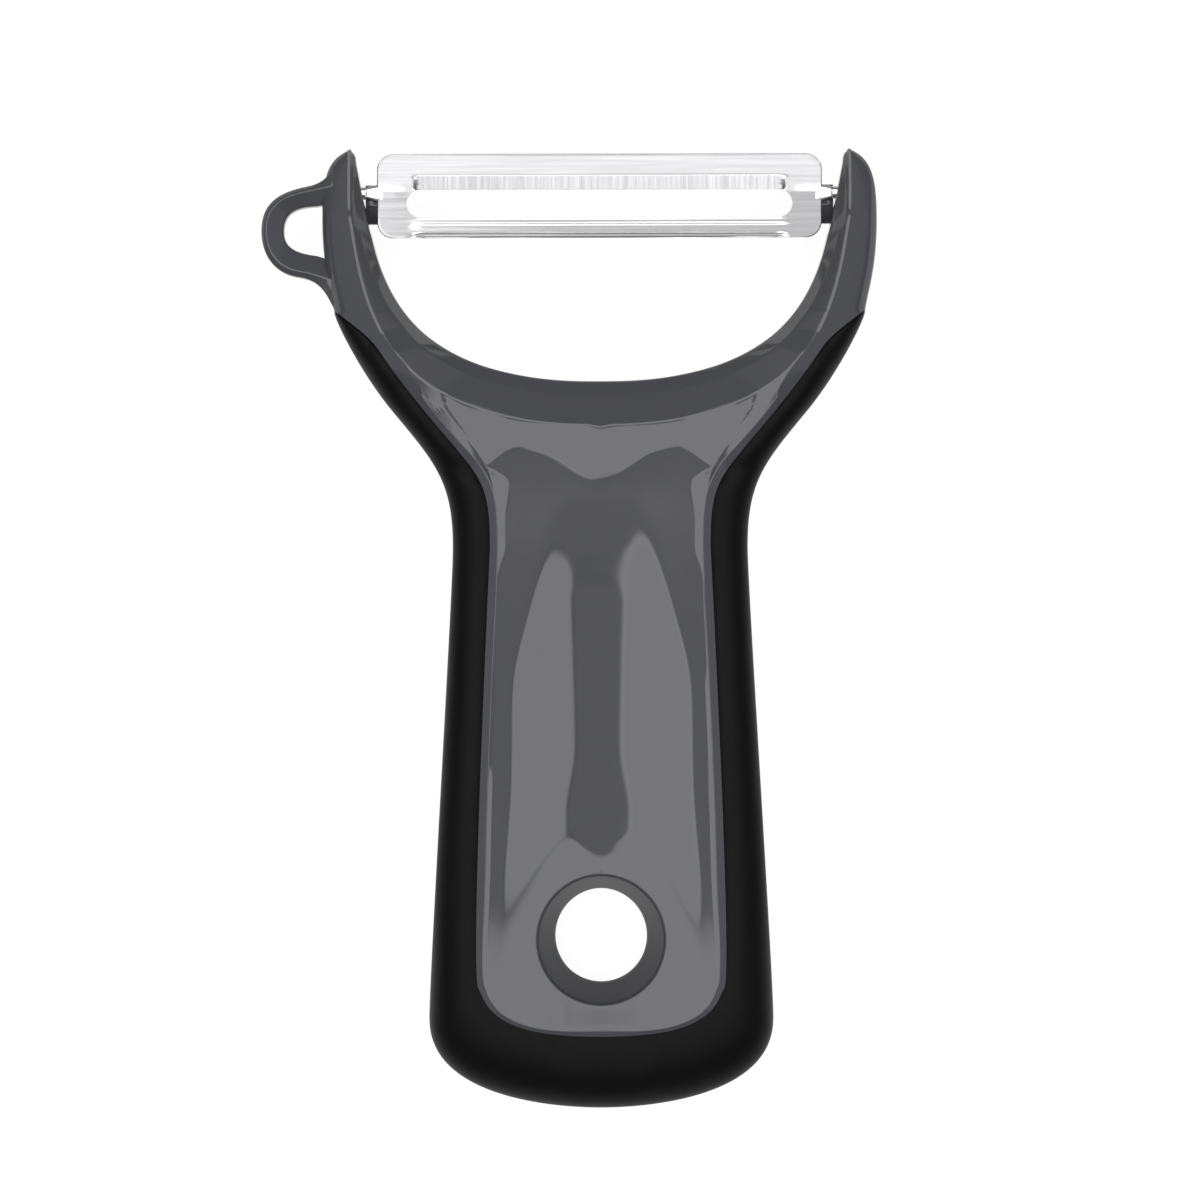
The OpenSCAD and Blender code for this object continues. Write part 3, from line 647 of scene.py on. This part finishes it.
def forkSide(rows, before):  # ridge, upper bevel, crease, lower bevel, gap edge and wall
    s, inner, ridgeZ = rows.s, rows.inner, rows.ridgeZ
    gap = pastSaddle(gapLine, gapShare, np.maximum(s, 3))
    fromPivot = gap[:, 1] - pivotY
    facetX = kx + core["facetBack"] + fromPivot * math.tan(math.radians(core["facetLean"]))
    over = soft(facetX - gap[:, 0], core["facetRound"]) * fade(fromPivot, *core["facetLow"])
    gap[:, 0] = gap[:, 0] + over * (1 - fade(fromPivot, *core["facetHigh"]))
    drop, share, wall = [level(core[name], s) for name in ("drop", "share", "wall")]
    chain = [before, lift(inner, ridgeZ), lift(mix(inner, gap, share[:, None]), ridgeZ - drop),
             lift(gap, ridgeZ - wall), lift(gap, level(backZ, s) + core["footHigh"]),
             lift(inner, backHeight(s, 0 * s))]
    radii = [rows.ridgeRound, core["creaseRound"], core["edgeRound"], core["backRound"]]
    return roundedChain(chain, radii, [1, 6, 6, 4, 5], 5)


def ringSide(rows, before, bedDeep, count):  # the funnel, the bore and the sleeve's end
    centre = np.array([0, handle["holeY"]])
    outward = unit(rows.inner - centre)
    mouthZ = panelHeight(rows.inner)
    mouthR, rounding = handle["mouthR"], core["mouthRound"]
    path = [before]
    for a in np.radians(core["mouthTurns"]):
        r = mouthR - rounding * math.sin(a)
        path.append(lift(centre + outward * r, mouthZ - rounding * (1 - math.cos(a))))
    for t in np.linspace(0.06, 1, 10):
        r = mix(mouthR - rounding, handle["holeR"], t)
        path.append(lift(centre + outward * r, mouthZ - core["mouthSink"] - core["funnelDeep"] * t))
    endIn = lift(centre + outward * (handle["holeR"] + core["undercut"]), handle["sleeveZ"])
    endOut = lift(centre + outward * handle["sleeveR"], handle["sleeveZ"])
    bed = lift(centre + outward * handle["sleeveR"], bedDeep)
    path += [mix(path[-1], endIn, t) for t in np.linspace(0, 1, count - len(path) - 3)[1:]]
    path += [mix(endIn, endOut, 0.5), endOut, mix(endOut, bed, 0.5)]
    return path + [bed] * (count - len(path))


def coreSection(s, covered):
    rows = rowsAt(s)
    inner, outer = rows.inner, rows.outer
    columns = ([] if covered else armSide(rows)) + front(rows)
    # Rows past the saddle go down the fork's side, rows at the hole go down its funnel,
    # and the rows between them go straight down the centre plane
    forked = forkSide(rows, columns[-1])
    count = len(forked)
    bedDeep = level(backZ, rows.q) + handle["gripDeep"] + handle["restCut"]
    ringed = ringSide(rows, columns[-1], bedDeep, count)
    onRing = (s < ringEnd + 1e-9)[:, None]
    for k in range(count):
        middle = lift(inner, mix(rows.ridgeZ, bedDeep, k / (count - 1)))
        columns.append(np.where(rows.past, forked[k], np.where(onRing, ringed[k], middle)))
    # Bare back of the fork, up to the grip's edge or the side
    low = columns[-1]
    for k in range(1, core["bareColumns"] + 1):
        u = rows.backShare * k / core["bareColumns"]
        bare = lift(mix(inner, outer, u[:, None]), backHeight(rows.q, u))
        columns.append(np.where(rows.past, bare, low))
    # Below the grip, or the arm's own skin
    if covered:
        bed = bedPoints(rows, np.where(rows.past, inner, innerLine(s, handle["sleeveR"])))
        return columns + bed[::-1]
    for t in np.linspace(0, 1, core["armColumns"])[1:]:
        u = backTurn(rows.backShare, t)
        columns.append(lift(mix(inner, outer, u[:, None]), backHeight(rows.q, u)))
    return columns


def buildCore():
    low = asTable(coreSection(stations(), True))
    high = asTable(coreSection(armStations(), False))
    # Both runs get the same number of columns, so that one grid holds them
    count = max(low.shape[1], high.shape[1])
    runs = [np.concatenate([np.repeat(run[:, :1], count - run.shape[1], 1), run], 1) for run in (low, high)]
    return wholeFrom(np.concatenate(runs, 0), "core")


# Potato eyer: a strap with a raised outer ridge, bent round a D-shaped hole

eyer = {
    "reach": 9.05, "down": 5.75, "strapWide": 3.3, "strapDeep": 3.6, "ridgeIn": 0.75, "sections": 72,
    "outerHigh": 0.7, "outerLow": 0.5, "innerHigh": 0.4, "rounds": [0.5, 0.25, 0.22, 0.3, 0.4],
}


def buildEyer():
    ey, ex = pivotY - eyer["down"], fx + eyer["reach"]
    outside = [[[38.2, ey + 11.3], [40.4, ey + 9.2], [40.3, ey + 7.4], [43.6, ey + 6.7]],
               [[43.6, ey + 6.7], [47.8, ey + 5.9], [ex, ey + 4.4], [ex, ey]],
               [[ex, ey], [ex, ey - 3.8], [48.5, ey - 6.4], [45.2, ey - 6.9]],
               [[45.2, ey - 6.9], [41.8, ey - 7.4], [41.0, ey - 9.0], [39.2, ey - 12.9]]]
    hx = ex - eyer["strapWide"]
    hole = [[[37.6, ey + 8.2], [38.6, ey + 5.2], [40.3, ey + 3.9], [42.6, ey + 3.75]],
            [[42.6, ey + 3.75], [45.6, ey + 3.6], [hx, ey + 2.8], [hx, ey]],
            [[hx, ey], [hx, ey - 2.4], [45.4, ey - 3.2], [43.0, ey - 3.55]],
            [[43.0, ey - 3.55], [40.9, ey - 3.8], [39.5, ey - 4.6], [38.4, ey - 9.0]]]
    rx = ex - eyer["ridgeIn"]
    crease = [[[37.0, ey + 6.9], [39.5, ey + 6.6], [41.5, ey + 6.3], [43.6, ey + 5.9]],
              [[43.6, ey + 5.9], [47.2, ey + 5.2], [rx, ey + 3.9], [rx, ey]],
              [[rx, ey], [rx, ey - 3.3], [48.0, ey - 5.6], [45.0, ey - 6.1]],
              [[45.0, ey - 6.1], [42.0, ey - 6.7], [40.5, ey - 7.2], [37.5, ey - 8.3]]]
    t = np.linspace(0, 4, eyer["sections"])
    a, b, ridge = along(outside, t), along(hole, t), along(crease, t)
    low, high = pivotZ - eyer["strapDeep"] / 2, pivotZ + eyer["strapDeep"] / 2
    seam = lift(mix(a, b, 0.6), low)
    ring = [seam, lift(a, low + eyer["outerLow"]), lift(a, high - eyer["outerHigh"]), lift(ridge, high),
            lift(b, pivotZ + eyer["innerHigh"]), lift(b, low), seam]
    table = np.stack(roundedChain(ring, eyer["rounds"], [2, 3, 2, 6, 3, 2], 5), 1)
    table[..., 0] *= -1
    bm = bmesh.new()
    sheetFrom(bm, table)
    bmesh.ops.remove_doubles(bm, verts=bm.verts, dist=weld)
    bmesh.ops.holes_fill(bm, edges=openEdges(bm), sides=0)
    return bm


# Stop lugs: flat below the pins, then sloped to meet the tilted plate

lug = {
    "plateEnd": 33.3, "under": 0.9, "up": 1.35, "down": 4.35, "tilt": 28, "gap": 0.3, "slit": 0.4,
    "foot": 0.4, "plateHalf": 0.45, "edge": 0.12,
}


def addLug(bm, sideSign):
    slope = math.tan(math.radians(lug["tilt"]))
    top = -handle["pinR"] - lug["gap"]
    drop = lug["plateHalf"] / math.cos(math.radians(lug["tilt"]))
    low = lug["foot"] - handle["armDeep"] / 2
    outline = [(-lug["down"], low), (lug["up"], low), (lug["up"], top),
               ((top + drop) / slope, top), (-lug["down"], -drop - lug["down"] * slope)]
    x0, x1 = lug["plateEnd"] - lug["under"], kx + core["facetBack"] - lug["slit"]
    verts = [bm.verts.new((sideSign * x0 * mm, (pivotY + y) * mm, (pivotZ + z) * mm)) for y, z in outline]
    grown = bmesh.ops.extrude_face_region(bm, geom=[bm.faces.new(verts)])
    moved = [g for g in grown["geom"] if isinstance(g, bmesh.types.BMVert)]
    bmesh.ops.translate(bm, verts=moved, vec=(sideSign * (x1 - x0) * mm, 0, 0))
    roundEdges(bm, edgesOf(verts + moved), lug["edge"])


def coreWithFittings():
    bm, fittings = buildCore(), buildEyer()
    for sideSign in (-1, 1):
        addLug(fittings, sideSign)
    bmesh.ops.recalc_face_normals(fittings, faces=fittings.faces)
    joined = bpy.data.meshes.new("eyerAndLugs")
    fittings.to_mesh(joined)
    fittings.free()
    bm.from_mesh(joined)
    bpy.data.meshes.remove(joined)
    return bm


# Faces of the hanging hole's funnel, which get the darker colour that paints its shade
def inShadedFunnel(x, y):
    return math.hypot(x, y - handle["holeY"]) < handle["mouthR"] - core["mouthSink"]


finishPiece(coreWithFittings(), "greyCore", "handle", ["core_frame"], greyMaterial,
            shadedFunnelMaterial, inShadedFunnel)


# Black soft grip: a band flush with the strip that swells and turns round to the back

grip = {
    "sideColumns": 22, "backColumns": 26, "swell": 0.45, "swellBand": 6.0, "seam": 0.16, "seamColumns": 0.8,
    "restRound": 0.05,
}


def gripSection(s):
    rows = rowsAt(s)
    inner = np.where(rows.past, rows.inner, innerLine(s, handle["sleeveR"]))
    rimZ = stripHeight(rows, rows.rim)
    band = np.minimum(lengthOf(rows.outer - rows.rim), grip["swellBand"]) / grip["swellBand"]
    columns = []
    for k in range(grip["sideColumns"]):
        a = math.radians(90 * k / grip["sideColumns"])
        seam = grip["seam"] * math.exp(-k / grip["seamColumns"])
        swell = band * (grip["swell"] * math.sin(2 * a) - seam)
        high = mix(rows.side, rimZ, math.cos(a)) + swell
        columns.append(lift(mix(rows.rim, rows.outer, math.sin(a)), high))
    for k in range(grip["backColumns"] + 1):  # the back, flat where it would pass below the rest face
        u = backTurn(rows.backShare, k / grip["backColumns"])
        high = soft(backHeight(rows.q, u), grip["restRound"])
        columns.append(lift(mix(inner, rows.outer, u[:, None]), high))
    return columns + bedPoints(rows, inner)[::-1]


finishPiece(wholeFrom(asTable(gripSection(stations())), "grip"), "softGrip", "handle", ["soft_grip"],
            rubberMaterial)


# Swivel blade: a closed ring of sheet round the slot, with the bar's formed rib

blade = {
    "length": 66.6, "up": 5.85, "low": -6.75, "corner": 2.4, "thick": 0.8, "edgeRound": 0.15,
    "slotLength": 57.8, "slotUp": 0.5, "slotLow": -3.7, "longSteps": 150, "endSteps": 64,
    "grindWide": 2.1, "grindEnd": 27.9, "grindFade": 0.55, "edgeThick": 0.22,
    "upperTilt": 0.027, "lowerTilt": 0.055,
    # The bar's humps are (height, distance below the slot, width) and its steps (depth, distance)
    "barEnd": (28.9, 26.5), "humps": ((0.02, 0.42, 0.3), (0.04, 1.35, 0.55), (-0.05, 0.9, 0.1)),
    "steps": ((0.12, 2.3), (0.1, 2.75)), "stepWide": 0.16, "nearColumns": 22, "farColumns": 12,
    "rollHigh": 0.03, "rollAt": 0.05, "rollWide": 0.65, "rollFrom": (28.6, 30.8),
    # Two cones at each end: from x, to x, the radius at each of them, depth over width
    "neck": ((32.5, 35.4, 1.5, 0.62, 0.31), (35.0, 38.6, 0.95, 0.95, 1.0)), "neckEdge": 0.12,
}


def ringStations():  # matched points of the slot's edge and the plate's edge, clockwise from the top left
    half, r = blade["length"] / 2, blade["corner"]
    sr = (blade["slotUp"] - blade["slotLow"]) / 2
    sx, sy = blade["slotLength"] / 2 - sr, blade["slotUp"] - sr
    inner, outer = [], []
    for sideSign, slotY, plateY in ((1, blade["slotUp"], blade["up"]), (-1, blade["slotLow"], blade["low"])):
        for x in sideSign * np.linspace(-sx, sx, blade["longSteps"], endpoint=False):
            inner.append((x, slotY))
            outer.append((x * (half - r) / sx, plateY))
        for k in range(blade["endSteps"]):
            t = k / blade["endSteps"]
            a = math.pi * (sideSign / 2 - t)
            inner.append((sideSign * sx + sr * math.cos(a), sy + sr * math.sin(a)))
            x, y = endPoint(t if sideSign > 0 else 1 - t, half, r)
            outer.append((sideSign * x, y))
    return np.array(inner + inner[:1]), np.array(outer + outer[:1])


def endPoint(t, half, r):  # a point of the plate's right end, from its upper corner down
    height = blade["up"] - blade["low"]
    arc = math.pi * r / 2
    flat = height - 2 * r
    d = t * (2 * arc + flat)
    if d < arc:
        a = math.pi / 2 * (1 - d / arc)
        return half - r + r * math.cos(a), blade["up"] - r + r * math.sin(a)
    if d < arc + flat:
        return half, blade["up"] - r - (d - arc)
    a = -math.pi / 2 * (d - arc - flat) / arc
    return half - r + r * math.cos(a), blade["low"] + r + r * math.sin(a)


def bladeFront(p):
    x, y = np.abs(p[..., 0]), p[..., 1]
    z = blade["thick"] / 2 + blade["upperTilt"] * np.maximum(y, 0) + blade["lowerTilt"] * np.minimum(y, 0)
    # The bar: a lip along the slot, a rib below it and a turned-down edge
    d = blade["slotLow"] - y
    bar = sum(high * hump(d - at, wide) for high, at, wide in blade["humps"])
    bar = bar - sum(deep * fade(d, at, at + blade["stepWide"]) for deep, at in blade["steps"])
    z = z + np.where(d > -0.02, bar * fade(x, *blade["barEnd"]), 0)
    # Rolls that stiffen the ends, narrowing to the pins
    roll = fade(x, *blade["rollFrom"]) * hump(y - blade["rollAt"], blade["rollWide"])
    z = z + blade["rollHigh"] * roll
    # Ground bevel down to the cutting edge
    fall = (blade["thick"] - blade["edgeThick"]) / blade["grindWide"]
    ground = z - fall * np.maximum(blade["slotUp"] + blade["grindWide"] - y, 0)
    inGrind = ease((blade["grindEnd"] - x) / blade["grindFade"]) * (y > blade["slotUp"] - 0.01)
    return np.where(inGrind > 0, mix(z, np.minimum(z, ground), inGrind), z)


def buildBlade():
    inner, outer = ringStations()
    low, edge = -blade["thick"] / 2, blade["edgeRound"]
    near = np.linspace(0, 0.5, blade["nearColumns"], endpoint=False)
    across = np.concatenate([near, np.linspace(0.5, 1, blade["farColumns"])])
    face = [lift(p, bladeFront(p)) for p in (mix(inner, outer, t) for t in across)]
    # Rounded outer edge, flat back, and the slot's edge
    rimZ = face[-1][:, 2]
    inside = outer - unit(outer - inner) * edge
    ring = face[:-1] + [lift(inside, rimZ), lift(outer, rimZ - edge), lift(outer, low + edge)]
    ring += [lift(inside, low)] + [lift(mix(inner, outer, t), low) for t in np.linspace(1, 0, 8)[1:]]
    table = np.stack(ring + [face[0]], 1) + np.array([0, pivotY, pivotZ])
    bm = bmesh.new()
    sheetFrom(bm, table)
    bmesh.ops.remove_doubles(bm, verts=bm.verts, dist=weld)
    for sideSign in (-1, 1):
        for cone in blade["neck"]:
            addCone(bm, sideSign, *cone)
    return bm


def addCone(bm, sideSign, x0, x1, wide0, wide1, deep):  # each end narrows to a neck and a rolled pin
    part = bmesh.ops.create_cone(bm, cap_ends=True, segments=40, radius1=wide0 * mm, radius2=wide1 * mm,
                                 depth=(x1 - x0) * mm)
    for v in part["verts"]:
        x, y, z = v.co
        v.co = (sideSign * (z + (x0 + x1) / 2 * mm), y + pivotY * mm, x * deep + pivotZ * mm)
    ends = [e for e in edgesOf(part["verts"]) if len(e.link_faces) == 2 and e.calc_face_angle(0) > 1]
    roundEdges(bm, ends, blade["neckEdge"])


def onGround(x, y):  # the ground bevel above the slot
    up = y - pivotY - blade["slotUp"]
    return abs(x) < blade["grindEnd"] and -0.02 < up < blade["grindWide"]


finishPiece(buildBlade(), "swivelBlade", "blade", ["swivel_blade"], steelMaterial,
            groundMaterial, onGround, sharp=12)


# Floor, light and camera

stage = {"floorSize": 3.0, "floorGap": 0.0004, "white": 0.12, "glow": 0.93}

# Spans in the sky's own plan, u to the right and v up the picture, over a plane one unit high
sky = {
    "base": 0.24, "box": 2.75, "overhead": 0.42, "farSides": 0.3, "soft": 0.03, "farSoft": (0.1, 0.2),
    "left": (-0.55, -0.1), "right": (0.21, 0.55), "sidesHigh": (-0.5, 0.55),
    "slant": 0.6, "lowSlant": 0.7, "lowFrom": -0.09,
    "top": (0.1, 0.72), "bottom": (-0.48, -0.21), "boxWide": (-0.5, 0.5),
    "overheadWide": (-0.2, 0.16), "overheadHigh": (-0.16, 0.12), "farWide": (0.65, 4), "farHigh": (-1, 1),
}

view = {"lens": 100, "sensor": 36, "place": (-0.00006, 0.015, 0.509), "turn": -0.00237}


def number(tree, kind, a, b=None):  # a Math node on two values or sockets
    node = tree.nodes.new("ShaderNodeMath")
    node.operation = kind
    for i, v in enumerate((a, b)):
        if isinstance(v, (int, float)):
            node.inputs[i].default_value = v
        elif v is not None:
            tree.links.new(v, node.inputs[i])
    return node.outputs[0]


def window(tree, value, span, edge):  # 1 inside the span, fading out over its edges
    low, high = span
    sides = []
    for at, first, last in ((low, 0, 1), (high, 1, 0)):
        node = tree.nodes.new("ShaderNodeMapRange")
        node.interpolation_type = "SMOOTHSTEP"
        ends = {"From Min": at - edge, "From Max": at + edge, "To Min": first, "To Max": last}
        for socket, v in ends.items():
            node.inputs[socket].default_value = v
        tree.links.new(value, node.inputs["Value"])
        sides.append(node.outputs["Result"])
    return number(tree, "MULTIPLY", *sides)


def buildFloor():
    bm = bmesh.new()
    bmesh.ops.create_grid(bm, x_segments=8, y_segments=8, size=stage["floorSize"] / 2)
    bmesh.ops.translate(bm, verts=bm.verts, vec=(0, 0, -stage["floorGap"]))
    mesh = bpy.data.meshes.new("floor")
    bm.to_mesh(mesh)
    bm.free()
    floor = bpy.data.objects.new("floor", mesh)
    scene.collection.objects.link(floor)
    material = bpy.data.materials.new("paleFloor")
    material.use_nodes = True
    tree = material.node_tree
    tree.nodes.clear()
    # The camera, reflections and glass see an even white, and light meets a plain grey
    plain = tree.nodes.new("ShaderNodeBsdfDiffuse")
    plain.inputs["Color"].default_value = (stage["white"],) * 3 + (1,)
    glow = tree.nodes.new("ShaderNodeEmission")
    rays = tree.nodes.new("ShaderNodeLightPath").outputs
    seen = number(tree, "MAXIMUM", rays["Is Camera Ray"], rays["Is Glossy Ray"])
    seen = number(tree, "MAXIMUM", seen, rays["Is Transmission Ray"])
    tree.links.new(number(tree, "MULTIPLY", seen, stage["glow"]), glow.inputs["Strength"])
    both = tree.nodes.new("ShaderNodeAddShader")
    tree.links.new(plain.outputs[0], both.inputs[0])
    tree.links.new(glow.outputs[0], both.inputs[1])
    out = tree.nodes.new("ShaderNodeOutputMaterial")
    tree.links.new(both.outputs[0], out.inputs["Surface"])
    mesh.materials.append(material)


def buildSky():  # light boxes left, right, above and below the picture, and a dimmer one overhead
    world = bpy.data.worlds.new("studio")
    scene.world = world
    world.use_nodes = True
    tree = world.node_tree
    tree.nodes.clear()

    def times(a, b):
        return number(tree, "MULTIPLY", a, b)

    def plus(a, b):
        return number(tree, "ADD", a, b)

    def most(a, b):
        return number(tree, "MAXIMUM", a, b)

    def within(value, name, edge=sky["soft"]):
        return window(tree, value, sky[name], edge)

    coords = tree.nodes.new("ShaderNodeTexCoord")
    parts = tree.nodes.new("ShaderNodeSeparateXYZ")
    tree.links.new(coords.outputs["Generated"], parts.inputs[0])
    height = most(parts.outputs["Z"], 0.02)
    u, v = [number(tree, "DIVIDE", parts.outputs[axis], height) for axis in "XY"]
    # The side boxes' inner edges slant outwards at the top and inwards at the bottom
    slanted = plus(u, times(most(v, 0.0), sky["slant"]))
    low = times(most(number(tree, "SUBTRACT", sky["lowFrom"], v), 0.0), sky["lowSlant"])
    left = within(number(tree, "SUBTRACT", slanted, low), "left")
    right = within(plus(u, low), "right")
    sides = times(plus(left, right), within(v, "sidesHigh"))
    above = times(within(v, "top"), within(u, "boxWide"))
    ends = most(above, times(within(v, "bottom"), within(u, "boxWide")))
    across = number(tree, "ABSOLUTE", u)
    overhead = times(within(across, "overheadWide"), within(v, "overheadHigh"))
    far = times(within(across, "farWide", sky["farSoft"][0]), within(v, "farHigh", sky["farSoft"][1]))
    light = times(most(sides, ends), sky["box"])
    dim = plus(times(overhead, sky["overhead"]), times(far, sky["farSides"]))
    strength = plus(plus(light, dim), sky["base"])
    # The camera itself sees plain white
    plain, seen = [tree.nodes.new("ShaderNodeBackground") for _ in range(2)]
    tree.links.new(strength, plain.inputs["Strength"])
    seen.inputs["Strength"].default_value = 1.0
    for node in (plain, seen):
        node.inputs["Color"].default_value = (1, 1, 1, 1)
    choose = tree.nodes.new("ShaderNodeMixShader")
    rays = tree.nodes.new("ShaderNodeLightPath").outputs
    tree.links.new(rays["Is Camera Ray"], choose.inputs["Fac"])
    tree.links.new(plain.outputs[0], choose.inputs[1])
    tree.links.new(seen.outputs[0], choose.inputs[2])
    out = tree.nodes.new("ShaderNodeOutputWorld")
    tree.links.new(choose.outputs[0], out.inputs["Surface"])


def addCamera():
    camera = bpy.data.objects.new("camera", bpy.data.cameras.new("camera"))
    camera.data.lens = view["lens"]
    camera.data.sensor_width = view["sensor"]
    camera.data.clip_start = 0.01
    camera.location = view["place"]
    camera.rotation_euler = (0, 0, view["turn"])
    scene.collection.objects.link(camera)
    scene.camera = camera
    scene.view_settings.view_transform = "Standard"


buildFloor()
buildSky()
addCamera()
print("stage, light and camera ready")
